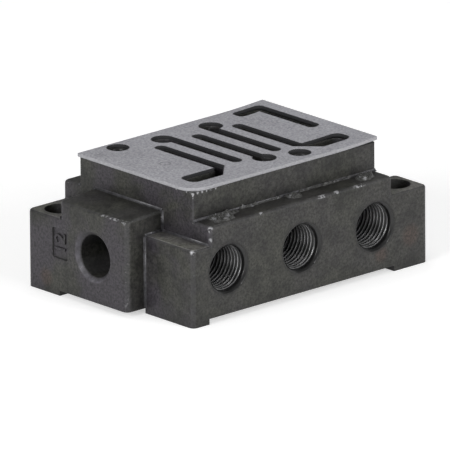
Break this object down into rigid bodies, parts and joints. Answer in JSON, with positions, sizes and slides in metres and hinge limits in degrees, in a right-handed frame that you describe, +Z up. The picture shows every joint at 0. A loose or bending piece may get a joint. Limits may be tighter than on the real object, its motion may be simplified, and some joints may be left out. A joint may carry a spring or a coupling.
{
  "type": "pneumatic valve subbase",
  "caption": "Cast subbase that carries a pneumatic valve: threaded side ports lead to a slotted seat under a flat seal sheet, and drilled lugs screw it down.",
  "frame": {"origin": "on the ground plane, under the middle of the part's outline", "axes": "+X along the face with three ports, to the right as seen from that face; +Y from that face into the depth; +Z up through the valve seat"},
  "size_m": [0.0672, 0.043, 0.0268],
  "materials": {
    "body": "die cast with a dark coating, satin, worn bright on some edges",
    "seal": "matt grey sheet"
  },
  "bodies": {
    "root": {"subbase_body": "body", "gasket": "seal"}
  },
  "joints": []
}
